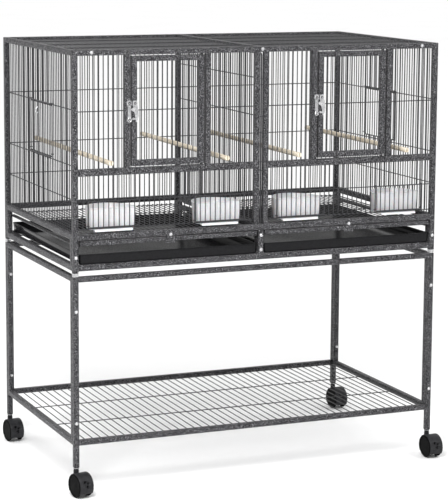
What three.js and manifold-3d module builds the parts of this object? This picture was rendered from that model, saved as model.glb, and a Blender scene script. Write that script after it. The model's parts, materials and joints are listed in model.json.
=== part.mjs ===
// Divided wire bird cage on a rolling stand.
// Millimetres, +Z up, +X to the right, -Y towards the person who opens the doors.
import * as THREE from 'three';
import { mergeVertices } from 'three/addons/utils/BufferGeometryUtils.js';
import Module from 'manifold-3d';

const wasm = await Module();
wasm.setup();

// ---------- driving dimensions ----------
const WIDTH = 950;
const DEPTH = 550;
const HEIGHT = 1045;
const TUBE = 13;
const WIRE = 2.4;
const GAP = 0.3;
// Bars round an edge or an opening are a little thicker than the wires.
const RIM = 3;
// How far a welded bar runs into its neighbour, and a step that keeps joined faces out of one plane.
const BITE = 2;
const STEP = 0.2;
// The casters trail forwards, so the middle of the whole footprint is in front of the cage's.
const CAGE_Y = 18;

// heights above the floor
const LEG_FOOT = 65;
const SHELF_LOW = 118;
const STAND_TOP = 520;
const CAGE_FOOT = 529;
const BASE = [533, 548];
const SILL = [605, 619];
const MID_RAIL = [754, 770];
const TOP_RAIL = [HEIGHT - TUBE, HEIGHT];
const FRONT_CROSS_WIRES = { sill: 630, feeder: 694, door: 903 };
const SIDE_CROSS_WIRES = [697, 776, 906];
const DIVIDER_CROSS_WIRES = [748, 877, 968];

// the two halves of the cage
const HALF_X = 240;
const SLOT = 10;
const DOOR_OPENING = 190;
const DOOR = { width: 181, low: 773, high: 1029.5, rail: 14, wires: 11 };
const PIN = { radius: 2, depth: 4.5, socket: 6 };
const FEEDER = { offset: 134, width: 128, low: 632, high: 696, wires: 9 };
const FEEDER_OPENING = { width: 122, lintel: 129 };
const NEST = { offset: 19, width: 168, low: 780, high: 909, wires: 12 };
const NEST_OPENING = { width: 154, frame: 168, low: 782, high: 904 };

// wire spacing
const LATTICE_COUNT = 35;
const SIDE_PITCH = 12.8;
const SIDE_COUNT = 41;
const SHELF_PITCH = 20;
const SHELF_CROSS_WIRES = [-88, 88];
const GRATE_COUNT = 33;
const THREE_CROSS_WIRES = [-131, 0, 131];

// loose pieces
const TRAY = { width: 453, front: -274, back: 260, low: 548.3, high: 572, wall: 1.6 };
const GRATE = { width: 447, back: 256, low: 592, high: 603 };
const RUNNER = { reach: 9, thick: 4 };
const STOP = { top: 16, bottom: 26, low: 588, high: 615, shoulder: 6, thick: 1.5 };
const CUP = { width: 123, depth: 86, low: 625, high: 677, wall: 1.8, taper: 0.93 };
const CUP_LIP = { width: 94, low: 622.6, high: 627.6, front: -272.5, inside: 3 };
const PERCH = { radius: 6, length: 575, z: 783.6, slot: 3, slotDepth: 24 };
const PERCH_WIRES = { inner: 6, outer: 29 };
const LATCH = { low: 876, high: 927, pivotZ: 919, pivot: 4, thick: 2 };

// casters
const WHEEL = { radius: 27.5, width: 5.5, span: 38, axle: 3, sides: 24 };
const HOOD = { radius: 29.8, width: 37, web: 26, pocket: 28.6, neck: 6.5, shoulder: 8.5, floorCut: 12 };
const TRAIL = 22;
const CASTER_TURN = { front_left: 12, front_right: 2, back_left: 6, back_right: 4 };

// derived planes
const X_OUT = WIDTH / 2;
const X_IN = X_OUT - TUBE;
const Y_OUT = DEPTH / 2;
const Y_IN = Y_OUT - TUBE;
const X_WIRE = X_OUT - TUBE / 2;
const Y_WIRE = Y_OUT - TUBE / 2;
const FRONT_BARS = [-Y_OUT, -Y_IN];
const BACK_BARS = [Y_IN, Y_OUT];
const LATTICE_START = SLOT / 2 + TUBE;
const LATTICE_PITCH = (X_IN - LATTICE_START) / LATTICE_COUNT;
// Panels fit between the corner posts, and sides between the front and the back.
const PANEL_X = X_IN - GAP;
const PANEL_Y = Y_IN - GAP;
const ACROSS = [-PANEL_X, PANEL_X];
const ALONG = [-PANEL_Y, PANEL_Y];
// Cross wires lie against the other wires. Edge bars are deep enough to hold both layers.
const CROSS = WIRE + GAP;
const EDGE_DEPTH = CROSS + WIRE / 2 + GAP;
// Latches and stop plates lie in front of the bars.
const FACE = -Y_OUT - GAP;

// ---------- materials ----------
const finish = (color, roughness, metalness) => () => {
  return new THREE.MeshStandardMaterial({ color, roughness, metalness });
};
const paint = finish(0x3b3c3f, 0.5, 0.4);
const wirePaint = finish(0x2c2d2f, 0.5, 0.4);
const zinc = finish(0xc9cacc, 0.3, 0.9);
const blackGloss = finish(0x101012, 0.15, 0);
const blackMatt = finish(0x1c1c1f, 0.5, 0);
const white = finish(0xf1f2f3, 0.35, 0);
const wood = finish(0xd8c39a, 0.7, 0);

// ---------- solid helpers ----------
function toSolid(geometry) {
  geometry.deleteAttribute('normal');
  geometry.deleteAttribute('uv');
  const merged = mergeVertices(geometry, 1e-5);
  return new wasm.Manifold(new wasm.Mesh({
    numProp: 3,
    vertProperties: new Float32Array(merged.attributes.position.array),
    triVerts: new Uint32Array(merged.index.array),
  }));
}

function toGeometry(solid) {
  const mesh = solid.getMesh();
  const geometry = new THREE.BufferGeometry();
  geometry.setAttribute('position', new THREE.BufferAttribute(mesh.vertProperties, 3));
  geometry.setIndex(new THREE.BufferAttribute(mesh.triVerts, 1));
  geometry.computeVertexNormals();
  return geometry;
}

// A square bar between two values on each axis, given in either order.
function bar(x, y, z) {
  const size = [x, y, z].map(([a, b]) => Math.abs(b - a));
  const middle = [x, y, z].map(([a, b]) => (a + b) / 2);
  return toSolid(new THREE.BoxGeometry(...size).translate(...middle));
}

// A round bar along Z.
function round(radius, x, y, z) {
  const geometry = new THREE.CylinderGeometry(radius, radius, Math.abs(z[1] - z[0]), 12);
  return toSolid(geometry.rotateX(Math.PI / 2).translate(x, y, (z[0] + z[1]) / 2));
}

// A plate whose X-Z outline is given as points, between two values of y.
function frontPlate(points, y) {
  const outline = new THREE.Shape(points.map(([x, z]) => new THREE.Vector2(x, z)));
  const plate = new THREE.ExtrudeGeometry(outline, { depth: y[1] - y[0], bevelEnabled: false });
  return toSolid(plate.rotateX(Math.PI / 2).translate(0, y[1], 0));
}

const about = (centre, width) => [centre - width / 2, centre + width / 2];
const wireAt = (centre) => about(centre, WIRE);
const rimAt = (centre) => about(centre, RIM);
const weld = (solids) => solids.reduce((all, next) => all.add(next));
const drill = (solid, holes) => holes.reduce((left, hole) => left.subtract(hole), solid);
const bothSides = (make) => [-1, 1].flatMap(make);
const steps = (count, place) => Array.from({ length: count }, (_, i) => place(i));

function addPiece(group, name, solid, material) {
  const mesh = new THREE.Mesh(toGeometry(solid), material);
  mesh.name = name;
  group.add(mesh);
  return mesh;
}

// ---------- front and back ----------
// Distance of vertical wire number i from the middle of the cage.
const latticeX = (i) => LATTICE_START + LATTICE_PITCH * i;
const isOverFeeder = (x) => Math.abs(Math.abs(x - HALF_X) - FEEDER.offset) < FEEDER_OPENING.width / 2;
const hingeX = (half) => half * HALF_X + DOOR.width / 2 - TUBE / 2;

function frontPosts(side) {
  const doorPosts = [-1, 1].map((s) => {
    const inner = HALF_X + s * DOOR_OPENING / 2;
    const x = [side * inner, side * (inner + s * TUBE)];
    return bar(x, FRONT_BARS, [MID_RAIL[1] - BITE, TOP_RAIL[0] + BITE]);
  });
  return [
    bar([side * SLOT / 2, side * LATTICE_START], FRONT_BARS, [SILL[0] + BITE, TOP_RAIL[0] + BITE]),
    bar([side * (SLOT / 2 + BITE), side * PANEL_X], FRONT_BARS, MID_RAIL),
    ...doorPosts,
  ];
}

// Wires of one front half: the bays beside the door, and the row under the middle rail.
function frontWires(side) {
  const doorPostOut = DOOR_OPENING / 2 + TUBE + WIRE;
  const inner = steps(LATTICE_COUNT - 1, (i) => latticeX(i + 1));
  const upper = inner.filter((x) => Math.abs(x - HALF_X) > doorPostOut).map((x) => {
    return bar(wireAt(side * x), wireAt(-Y_WIRE), [MID_RAIL[1] - BITE, TOP_RAIL[0] + BITE]);
  });
  const lower = inner.map((x) => {
    const foot = isOverFeeder(x) ? FRONT_CROSS_WIRES.feeder : FRONT_CROSS_WIRES.sill;
    return bar(wireAt(side * x), wireAt(-Y_WIRE), [foot, MID_RAIL[0] + BITE]);
  });
  return [...upper, ...lower];
}

function frontCrossWires(side) {
  const behind = wireAt(-Y_WIRE + CROSS);
  const start = LATTICE_START - BITE;
  const doorPostIn = DOOR_OPENING / 2 + TUBE - BITE;
  const full = [side * start, side * PANEL_X];
  const bays = [
    [side * start, side * (HALF_X - doorPostIn)],
    [side * (HALF_X + doorPostIn), side * PANEL_X],
  ];
  const lintels = [-1, 1].map((s) => {
    const x = about(side * (HALF_X + s * FEEDER.offset), FEEDER_OPENING.lintel);
    return bar(x, rimAt(-Y_WIRE), rimAt(FRONT_CROSS_WIRES.feeder));
  });
  return [
    bar(full, rimAt(-Y_WIRE), rimAt(FRONT_CROSS_WIRES.sill)),
    bar(full, behind, wireAt(FRONT_CROSS_WIRES.feeder)),
    ...bays.map((x) => bar(x, behind, wireAt(FRONT_CROSS_WIRES.door))),
    ...lintels,
  ];
}

function frontPanel() {
  const welded = weld([
    bar(ACROSS, FRONT_BARS, TOP_RAIL),
    bar(ACROSS, FRONT_BARS, SILL),
    ...bothSides(frontPosts),
    ...bothSides(frontWires),
    ...bothSides(frontCrossWires),
  ]);
  return drill(welded, bothSides((half) => [
    round(PIN.radius + GAP, hingeX(half), -Y_WIRE, [MID_RAIL[1] - PIN.socket, MID_RAIL[1] + BITE]),
    round(PIN.radius + GAP, hingeX(half), -Y_WIRE, [TOP_RAIL[0] - BITE, TOP_RAIL[0] + PIN.socket]),
  ]));
}

function backPanel() {
  const half = (side) => [
    ...steps(LATTICE_COUNT, (i) => {
      return bar(wireAt(side * latticeX(i)), wireAt(Y_WIRE), [SILL[1] - BITE, TOP_RAIL[0] + BITE]);
    }),
    ...SIDE_CROSS_WIRES.map((z) => {
      return bar([side * (TUBE / 2 - BITE), side * PANEL_X], wireAt(Y_WIRE - CROSS), wireAt(z));
    }),
  ];
  return weld([
    bar(ACROSS, BACK_BARS, TOP_RAIL),
    bar(ACROSS, BACK_BARS, SILL),
    bar(about(0, TUBE), BACK_BARS, [SILL[0] + BITE, TOP_RAIL[0] + BITE]),
    ...bothSides(half),
  ]);
}

// The lowest rail of the front or the back, with a short post under the middle of the sill.
function baseRail(y) {
  return weld([
    bar(ACROSS, y, BASE),
    bar(about(0, TUBE), y, [BASE[0] + BITE, SILL[0] - GAP]),
  ]);
}

// ---------- sides, top and middle ----------
const sideWireY = (i) => SIDE_PITCH * (i - (SIDE_COUNT - 1) / 2);
// The right side is the left one turned round, so its nest opening is further back.
const nestY = (side) => side * NEST.offset;

// A lower frame from front to back: a rail, a short upright at each end and the grate's runner.
function lowerFrame(x, rail, runner) {
  const runnerTop = GRATE.low - GAP;
  return [
    bar(x, ALONG, rail),
    bar(runner, ALONG, [runnerTop - RUNNER.thick, runnerTop]),
    ...bothSides((end) => [
      bar(x, [end * PANEL_Y, end * (PANEL_Y - TUBE)], [BASE[0], SILL[0] + BITE]),
    ]),
  ];
}

function sideUprights(side) {
  const plane = wireAt(side * X_WIRE);
  const low = SILL[1] - BITE;
  const high = TOP_RAIL[0] + BITE;
  return steps(SIDE_COUNT, sideWireY).flatMap((y, i) => {
    if (Math.abs(y - nestY(side)) < NEST_OPENING.width / 2) {
      return [
        bar(plane, wireAt(y), [low, NEST_OPENING.low]),
        bar(plane, wireAt(y), [NEST_OPENING.high, high]),
      ];
    }
    const deep = [side * (X_WIRE - EDGE_DEPTH), side * (X_WIRE + RIM / 2)];
    const atEnd = i === 0 || i === SIDE_COUNT - 1;
    return [bar(atEnd ? deep : plane, wireAt(y), [low, high])];
  });
}

function sidePanel(side) {
  const x = [side * X_IN, side * X_OUT];
  const runner = [side * (X_IN - RUNNER.reach), side * (X_IN + BITE)];
  const nestFrame = [NEST_OPENING.low, NEST_OPENING.high].map((z) => {
    return bar(rimAt(side * X_WIRE), about(nestY(side), NEST_OPENING.frame), rimAt(z));
  });
  const wholeCrossWires = SIDE_CROSS_WIRES.filter((z) => z < NEST_OPENING.low || z > NEST_OPENING.high);
  const crossWires = wholeCrossWires.map((z) => {
    const y = [sideWireY(0), sideWireY(SIDE_COUNT - 1)];
    return bar(wireAt(side * (X_WIRE - CROSS)), y, wireAt(z));
  });
  return weld([
    bar(x, ALONG, TOP_RAIL),
    bar(x, ALONG, SILL),
    ...lowerFrame(x, BASE, runner),
    ...sideUprights(side),
    ...nestFrame,
    ...crossWires,
  ]);
}

// A wire mat with a tube down its middle, inside the four top rails.
function topPanel() {
  const z = (TOP_RAIL[0] + TOP_RAIL[1]) / 2;
  const half = (side) => [
    bar([side * PANEL_X, side * (PANEL_X - RIM)], ALONG, [z - RIM / 2, z + EDGE_DEPTH]),
    ...steps(LATTICE_COUNT, (i) => {
      return bar(wireAt(side * latticeX(i)), [-PANEL_Y + BITE, PANEL_Y - BITE], wireAt(z));
    }),
    ...THREE_CROSS_WIRES.map((y) => {
      return bar([side * (TUBE / 2 - BITE), side * (PANEL_X - BITE)], wireAt(y), wireAt(z + CROSS));
    }),
  ];
  const ends = bothSides((end) => {
    const y = [end * PANEL_Y, end * (PANEL_Y - RIM)];
    return [bar([-PANEL_X + BITE, PANEL_X - BITE], y, rimAt(z))];
  });
  return weld([
    bar(about(0, TUBE), ALONG, TOP_RAIL),
    ...ends,
    ...bothSides(half),
  ]);
}

// The lower frame between the two trays.
function centreFrame() {
  const x = about(0, TUBE);
  return weld([
    bar(x, ALONG, [SILL[0], SILL[1] - GAP]),
    ...lowerFrame(x, [BASE[0], BASE[0] + TUBE], about(0, TUBE + 2 * RUNNER.reach)),
  ]);
}

// The sliding partition, which leaves through the slot between the two middle posts.
function divider() {
  const rod = 4;
  const z = [SILL[1] + 2 * GAP, TOP_RAIL[0] - BITE];
  const y = [-Y_WIRE - rod / 2, Y_IN - TUBE / 2 - BITE];
  const inside = [y[0] + BITE, y[1] - BITE];
  return weld([
    bar([-rod / 2, EDGE_DEPTH], [y[0], y[0] + rod], z),
    bar([-rod / 2, EDGE_DEPTH], [y[1] - rod, y[1]], z),
    bar(about(0, rod), inside, [z[0], z[0] + rod]),
    bar(about(0, rod), inside, [z[1] - rod, z[1]]),
    ...steps(SIDE_COUNT - 2, (i) => {
      return bar(wireAt(0), wireAt(sideWireY(i + 1) - SIDE_PITCH / 2), [z[0] + BITE, z[1] - BITE]);
    }),
    ...DIVIDER_CROSS_WIRES.map((height) => bar(wireAt(CROSS), inside, wireAt(height))),
  ]);
}

// ---------- doors and latches ----------
function door(half) {
  const x = about(half * HALF_X, DOOR.width);
  const inner = DOOR.width - 2 * TUBE;
  const rails = [[DOOR.low, DOOR.low + DOOR.rail], [DOOR.high - TUBE, DOOR.high]];
  const pins = [
    [MID_RAIL[1] - PIN.depth, DOOR.low + BITE],
    [DOOR.high - BITE, TOP_RAIL[0] + PIN.depth],
  ];
  return weld([
    bar([x[0], x[0] + TUBE], FRONT_BARS, [DOOR.low, DOOR.high]),
    bar([x[1] - TUBE, x[1]], FRONT_BARS, [DOOR.low, DOOR.high]),
    ...rails.map((z) => bar([x[0] + BITE, x[1] - BITE], FRONT_BARS, z)),
    ...steps(DOOR.wires, (i) => {
      const wireX = x[0] + TUBE + inner * (i + 1) / (DOOR.wires + 1);
      const z = [DOOR.low + DOOR.rail - BITE, DOOR.high - TUBE + BITE];
      return bar(wireAt(wireX), wireAt(-Y_WIRE), z);
    }),
    bar([x[0] + BITE, x[1] - BITE], wireAt(-Y_WIRE + CROSS), wireAt(FRONT_CROSS_WIRES.door)),
    ...pins.map((z) => round(PIN.radius, hingeX(half), -Y_WIRE, z)),
  ]);
}

// The keeper on the door post: a plate with a raised strap.
function latchStrike(half) {
  const x = half * HALF_X - DOOR_OPENING / 2 - TUBE / 2 + 1;
  return weld([
    bar(about(x, 9), [FACE - LATCH.thick, FACE], [LATCH.low, LATCH.high]),
    bar(about(x, 6), [FACE - 2.5 * LATCH.thick, FACE - 1], [LATCH.low + 4, LATCH.high - 4]),
  ]);
}

// The lever on the door: it hangs from its top pivot, and its nose lies over the keeper.
function latchLever(half) {
  const x = half * HALF_X - DOOR.width / 2 + TUBE / 2;
  const nose = half * HALF_X - DOOR_OPENING / 2 - TUBE / 2;
  const y = [FACE - 3.5 * LATCH.thick, FACE - 2.5 * LATCH.thick - GAP];
  const plate = frontPlate([
    [x - 6, LATCH.high], [x + 7, LATCH.high], [x + 9, LATCH.low + 14], [x + 9, LATCH.low],
    [x + 1, LATCH.low], [x - 3, LATCH.low + 20], [nose, LATCH.low + 22], [nose, LATCH.low + 29],
    [x - 6, LATCH.low + 33],
  ], y);
  const back = y[1] - BITE / 2;
  const pivot = new THREE.CylinderGeometry(LATCH.pivot, LATCH.pivot, FACE - back, 12);
  return plate.add(toSolid(pivot.translate(x, (FACE + back) / 2, LATCH.pivotZ)));
}

// ---------- wire flaps ----------
// A flat wire flap in the X-Z plane around the origin.
function flap(width, height, count) {
  const rungs = steps(count, (i) => -width / 2 + width * (i + 1) / (count + 1));
  const between = about(0, width - 2 * RIM + BITE);
  return weld([
    bar([-width / 2, -width / 2 + RIM], rimAt(0), [0, height]),
    bar([width / 2, width / 2 - RIM], rimAt(0), [0, height]),
    bar(between, wireAt(0), [STEP, RIM]),
    bar(between, wireAt(0), [height - RIM, height - STEP]),
    ...rungs.map((x) => bar(wireAt(x), about(0, WIRE - 2 * STEP), [RIM / 2, height - RIM / 2])),
  ]);
}

// ---------- loose pieces ----------
function tray() {
  const wall = TRAY.wall;
  const shell = bar(about(0, TRAY.width), [TRAY.front, TRAY.back], [TRAY.low, TRAY.high]);
  const inside = bar(
    about(0, TRAY.width - 2 * wall),
    [TRAY.front + wall, TRAY.back - wall],
    [TRAY.low + wall, TRAY.high + BITE],
  );
  return shell.subtract(inside);
}

// Wires of the shelf and of the grates lie this far above the middle of their bars.
const WIRE_RISE = 1;

function grate() {
  const side = GRATE.width / 2;
  const z = (GRATE.low + GRATE.high) / 2 + WIRE_RISE;
  const back = 2 * WIRE;
  return weld([
    bar([-side, side], FRONT_BARS, [GRATE.low, GRATE.high]),
    bar([-side, side], [GRATE.back - back, GRATE.back], [GRATE.low, GRATE.high]),
    ...bothSides((s) => {
      const y = [-Y_OUT + BITE, GRATE.back - BITE];
      return [bar([s * side, s * (side - back)], y, [z - EDGE_DEPTH, z + RIM / 2])];
    }),
    ...steps(GRATE_COUNT, (i) => {
      const x = -side + GRATE.width * (i + 1) / (GRATE_COUNT + 1);
      return bar(wireAt(x), [-Y_IN - BITE, GRATE.back - BITE], wireAt(z));
    }),
    ...THREE_CROSS_WIRES.map((y) => bar([-side + BITE, side - BITE], wireAt(y), wireAt(z - CROSS))),
  ]);
}

// The stop plate on the front of a grate: it overlaps the sill rail.
function grateStop() {
  const shoulder = STOP.low + STOP.shoulder;
  const foot = STOP.bottom / 2;
  const head = STOP.top / 2;
  return frontPlate([
    [-foot, STOP.low], [foot, STOP.low], [foot, shoulder],
    [head, STOP.high], [-head, STOP.high], [-foot, shoulder],
  ], [FACE - STOP.thick, FACE]);
}

// A D-shaped plug between two heights: flat at y = 0, round towards +Y, narrower at its foot.
function dPlug(halfWidth, depth, low, high, taper) {
  const arc = 14;
  const outline = steps(arc + 1, (i) => {
    const angle = Math.PI * i / arc;
    return [halfWidth * Math.cos(angle), depth * Math.sin(angle)];
  });
  const ring = (scale, z) => outline.flatMap(([x, y]) => [x * scale, y * scale, z]);
  const count = outline.length;
  const sides = steps(count, (i) => {
    const next = (i + 1) % count;
    return [i, next, count + next, i, count + next, count + i];
  });
  const caps = steps(count - 2, (i) => [0, i + 2, i + 1, count, count + i + 1, count + i + 2]);
  const geometry = new THREE.BufferGeometry();
  const points = new Float32Array([...ring(taper, low), ...ring(1, high)]);
  geometry.setAttribute('position', new THREE.BufferAttribute(points, 3));
  geometry.setIndex([...sides, ...caps].flat());
  return toSolid(geometry);
}

const CUP_FRONT = -Y_WIRE + CROSS + WIRE / 2 + 2 * GAP;

// A feeding cup; its lip reaches out between the sill rail and the wire above it.
function cup() {
  const wall = CUP.wall;
  const half = CUP.width / 2;
  const outer = dPlug(half, CUP.depth, CUP.low, CUP.high, CUP.taper);
  const inner = dPlug(half - wall, CUP.depth - 2 * wall, CUP.low + wall, CUP.high + wall, CUP.taper);
  const body = outer.subtract(inner.translate([0, wall, 0])).translate([0, CUP_FRONT, 0]);
  const lipY = [CUP_LIP.front, CUP_FRONT + CUP_LIP.inside];
  return body.add(bar(about(0, CUP_LIP.width), lipY, [CUP_LIP.low, CUP_LIP.high]));
}

// A dowel with a slot in each end that straddles one wire.
function perch() {
  const dowel = new THREE.CylinderGeometry(PERCH.radius, PERCH.radius, PERCH.length, 16);
  return drill(toSolid(dowel), bothSides((end) => {
    const y = [end * (PERCH.length / 2 + BITE), end * (PERCH.length / 2 - PERCH.slotDepth)];
    return [bar(about(0, PERCH.slot), y, about(0, 2 * (PERCH.radius + BITE)))];
  }));
}

// ---------- stand ----------
function sideFrame(side) {
  const x = [side * X_IN, side * X_OUT];
  return weld([
    bar(x, ALONG, [STAND_TOP - TUBE, STAND_TOP]),
    bar(x, ALONG, [SHELF_LOW, SHELF_LOW + TUBE]),
    ...bothSides((end) => {
      return [bar(x, [end * PANEL_Y, end * (PANEL_Y - TUBE)], [SHELF_LOW, STAND_TOP])];
    }),
  ]);
}

function shelf() {
  const bars = [SHELF_LOW, SHELF_LOW + TUBE];
  const z = SHELF_LOW + TUBE / 2 + WIRE_RISE;
  const wireCount = 2 * Math.floor((PANEL_X - RIM) / SHELF_PITCH) + 1;
  const wireY = [-Y_WIRE, Y_WIRE];
  return weld([
    bar(ACROSS, FRONT_BARS, bars),
    bar(ACROSS, BACK_BARS, bars),
    ...steps(wireCount, (i) => {
      const x = SHELF_PITCH * (i - (wireCount - 1) / 2);
      return bar(wireAt(x), wireY, wireAt(z));
    }),
    ...bothSides((side) => {
      return [bar([side * (PANEL_X - RIM), side * PANEL_X], wireY, [z - EDGE_DEPTH, z + RIM / 2])];
    }),
    ...SHELF_CROSS_WIRES.map((y) => {
      return bar([-PANEL_X + BITE, PANEL_X - BITE], wireAt(y), wireAt(z - CROSS));
    }),
  ]);
}

// ---------- casters ----------
// Two discs on one axle along X, around the origin. Each stands on a flat facet.
function wheelPair() {
  const out = WHEEL.span / 2;
  const inside = out - WHEEL.width;
  const halfStep = Math.PI / WHEEL.sides;
  const corner = WHEEL.radius / Math.cos(halfStep);
  const profile = [
    [0, -out], [corner, -out], [corner, -inside], [WHEEL.axle, -inside],
    [WHEEL.axle, inside], [corner, inside], [corner, out], [0, out],
  ].map(([r, x]) => new THREE.Vector2(r, x));
  const discs = new THREE.LatheGeometry(profile, WHEEL.sides);
  return toSolid(discs.rotateY(halfStep).rotateZ(-Math.PI / 2));
}

// The hood: a drum with a pocket for each disc, open below, and with its neck TRAIL behind the axle.
function casterHood() {
  const drum = (radius, x) => {
    const geometry = new THREE.CylinderGeometry(radius, radius, x[1] - x[0], WHEEL.sides);
    return toSolid(geometry.rotateZ(Math.PI / 2).translate((x[0] + x[1]) / 2, 0, 0));
  };
  const web = about(0, HOOD.web);
  const whole = weld([
    drum(HOOD.radius, about(0, HOOD.width)),
    bar(web, about(TRAIL, 2 * HOOD.shoulder), [0, HOOD.radius]),
    round(HOOD.neck, 0, TRAIL, [HOOD.radius - BITE, LEG_FOOT - GAP - WHEEL.radius]),
  ]);
  const below = [-2 * HOOD.radius, HOOD.floorCut - WHEEL.radius];
  return drill(whole, [
    drum(HOOD.pocket, [web[0] - WHEEL.span, web[0]]),
    drum(HOOD.pocket, [web[1], web[1] + WHEEL.span]),
    drum(WHEEL.axle + GAP, about(0, 2 * HOOD.width)),
    bar(about(0, 2 * HOOD.width), about(0, 3 * HOOD.radius), below),
  ]);
}

function addCaster(group, place, side, end) {
  const turned = new THREE.Group();
  turned.position.set(side * X_WIRE, end * Y_WIRE, WHEEL.radius);
  turned.rotation.z = THREE.MathUtils.degToRad(CASTER_TURN[place]);
  addPiece(turned, `caster_hood_${place}`, casterHood(), blackMatt()).position.y = -TRAIL;
  addPiece(turned, `caster_wheels_${place}`, wheelPair(), blackMatt()).position.y = -TRAIL;
  group.add(turned);
}

// ---------- assembly ----------
function addCorner(group, place, x, y) {
  addPiece(group, `leg_${place}`, bar(x, y, [LEG_FOOT, STAND_TOP]), paint());
  addPiece(group, `spacer_${place}`, bar(x, y, [STAND_TOP + GAP, CAGE_FOOT - GAP]), zinc());
  addPiece(group, `corner_post_${place}`, bar(x, y, [CAGE_FOOT, HEIGHT]), paint());
}

function addDoor(group, name, half) {
  addPiece(group, `door_${name}`, door(half), paint());
  addPiece(group, `latch_strike_${name}`, latchStrike(half), zinc());
  addPiece(group, `latch_lever_${name}`, latchLever(half), zinc());
}

function addTray(group, name, half) {
  const x = half * (X_IN + TUBE / 2) / 2;
  addPiece(group, `tray_${name}`, tray(), blackGloss()).position.x = x;
  addPiece(group, `grate_${name}`, grate(), wirePaint()).position.x = x;
  addPiece(group, `grate_tab_${name}`, grateStop(), paint()).position.x = x;
}

function addNestDoor(group, name, half) {
  const solid = flap(NEST.width, NEST.high - NEST.low, NEST.wires);
  const nest = addPiece(group, `nest_door_${name}`, solid, wirePaint());
  nest.rotation.z = Math.PI / 2;
  nest.position.set(half * (X_WIRE + RIM + GAP), nestY(half), NEST.low);
}

// A feeding cup, and the flap that slides up in front of it.
function addFeeder(group, label, x) {
  const solid = flap(FEEDER.width, FEEDER.high - FEEDER.low, FEEDER.wires);
  const feeder = addPiece(group, `feeder_door_${label}`, solid, wirePaint());
  feeder.position.set(x, -Y_WIRE - RIM - GAP, FEEDER.low);
  addPiece(group, `cup_${label}`, cup(), white()).position.x = x;
}

const cage = new THREE.Group();
cage.position.y = CAGE_Y;
const ends = Object.entries({ front: -1, back: 1 });
const sides = Object.entries({ left: -1, right: 1 });

for (const [endName, end] of ends) {
  const y = [end * Y_OUT, end * Y_IN];
  for (const [sideName, side] of sides) {
    const place = `${endName}_${sideName}`;
    addCorner(cage, place, [side * X_IN, side * X_OUT], y);
    addCaster(cage, place, side, end);
  }
  const rail = bar(ACROSS, y, [STAND_TOP - TUBE, STAND_TOP]);
  addPiece(cage, `stand_rail_${endName}`, rail, paint());
  addPiece(cage, `base_rail_${endName}`, baseRail(y), paint());
}

addPiece(cage, 'shelf', shelf(), paint());
addPiece(cage, 'front_panel', frontPanel(), paint());
addPiece(cage, 'back_panel', backPanel(), paint());
addPiece(cage, 'top_panel', topPanel(), paint());
addPiece(cage, 'centre_frame', centreFrame(), paint());
addPiece(cage, 'divider', divider(), wirePaint());

for (const [name, half] of sides) {
  addPiece(cage, `side_frame_${name}`, sideFrame(half), paint());
  addPiece(cage, `side_panel_${name}`, sidePanel(half), paint());
  addDoor(cage, name, half);
  addTray(cage, name, half);
  addNestDoor(cage, name, half);
  for (const [place, away] of [['inner', -half], ['outer', half]]) {
    addFeeder(cage, `${name}_${place}`, half * HALF_X + away * FEEDER.offset);
    const dowel = addPiece(cage, `perch_${name}_${place}`, perch(), wood());
    dowel.position.set(half * latticeX(PERCH_WIRES[place]), 0, PERCH.z);
  }
}

export default cage;
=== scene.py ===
"""Looks for a divided wire bird cage on a rolling stand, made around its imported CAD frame.

Shapes are collected in millimetres, with y = 0 in the middle of the cage, and become metres in the
row frame when their piece is made. +X is to the right and -Y is towards the person at the doors.
"""

import json
import math

import bmesh
import bpy
from mathutils import Matrix, Vector


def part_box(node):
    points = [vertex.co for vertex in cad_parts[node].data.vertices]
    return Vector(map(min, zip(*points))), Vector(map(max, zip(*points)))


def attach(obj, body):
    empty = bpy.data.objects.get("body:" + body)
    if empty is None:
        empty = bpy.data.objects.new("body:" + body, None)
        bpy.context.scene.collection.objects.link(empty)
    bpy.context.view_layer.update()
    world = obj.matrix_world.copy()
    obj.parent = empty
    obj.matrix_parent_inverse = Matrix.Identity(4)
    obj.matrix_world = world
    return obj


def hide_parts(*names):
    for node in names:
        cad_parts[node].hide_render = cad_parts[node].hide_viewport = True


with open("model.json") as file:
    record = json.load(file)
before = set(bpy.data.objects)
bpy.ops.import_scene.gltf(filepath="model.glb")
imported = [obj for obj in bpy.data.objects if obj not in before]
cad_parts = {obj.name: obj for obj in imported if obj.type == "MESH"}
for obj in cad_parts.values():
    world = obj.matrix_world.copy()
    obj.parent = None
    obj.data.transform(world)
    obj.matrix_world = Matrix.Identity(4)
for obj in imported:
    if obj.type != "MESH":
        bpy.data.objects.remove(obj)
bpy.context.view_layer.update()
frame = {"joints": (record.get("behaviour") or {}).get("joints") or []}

# ---------- sizes read from the frame ----------


def span(node):
    """A CAD node's low and high corners, in millimetres."""
    low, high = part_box(node)
    return [1000 * v for v in low], [1000 * v for v in high]


def pair(node, axis):
    """A CAD node's low and high value on one axis, 0 to 2, with y measured from the cage's middle."""
    low, high = span(node)
    shift = CENTRE_Y if axis == 1 else 0
    return low[axis] - shift, high[axis] - shift


def ranges(node):
    """A CAD node's three pairs."""
    return [pair(node, axis) for axis in range(3)]


CENTRE_Y = (span("front_panel")[0][1] + span("back_panel")[1][1]) / 2
FOOT, TOP = pair("corner_post_front_left", 2)
X_OUT = pair("corner_post_front_right", 0)[1]
Y_OUT = pair("back_panel", 1)[1]
LEG = pair("leg_front_left", 2)
SHELF_LOW = pair("side_frame_left", 2)[0]

# ---------- sizes of the tubes and wires ----------

# Square tube, its section's corner, and the sharper corner of a close fit.
TUBE = 13
CORNER = 1.5
CRISP = 0.6
# Radii of a wire and of the thicker wire along an edge.
WIRE = 1.2
BORDER = 1.5
WIRE_SIDES = 10
# How far a cross-wire lies from its uprights, and how far a wire goes into its tube.
CROSSING = 2.3
BITE = 3
# Air between pieces that lie together.
GAP = 0.3

X_IN = X_OUT - TUBE
Y_IN = Y_OUT - TUBE
X_WIRE = X_OUT - TUBE / 2
Y_WIRE = Y_OUT - TUBE / 2
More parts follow.
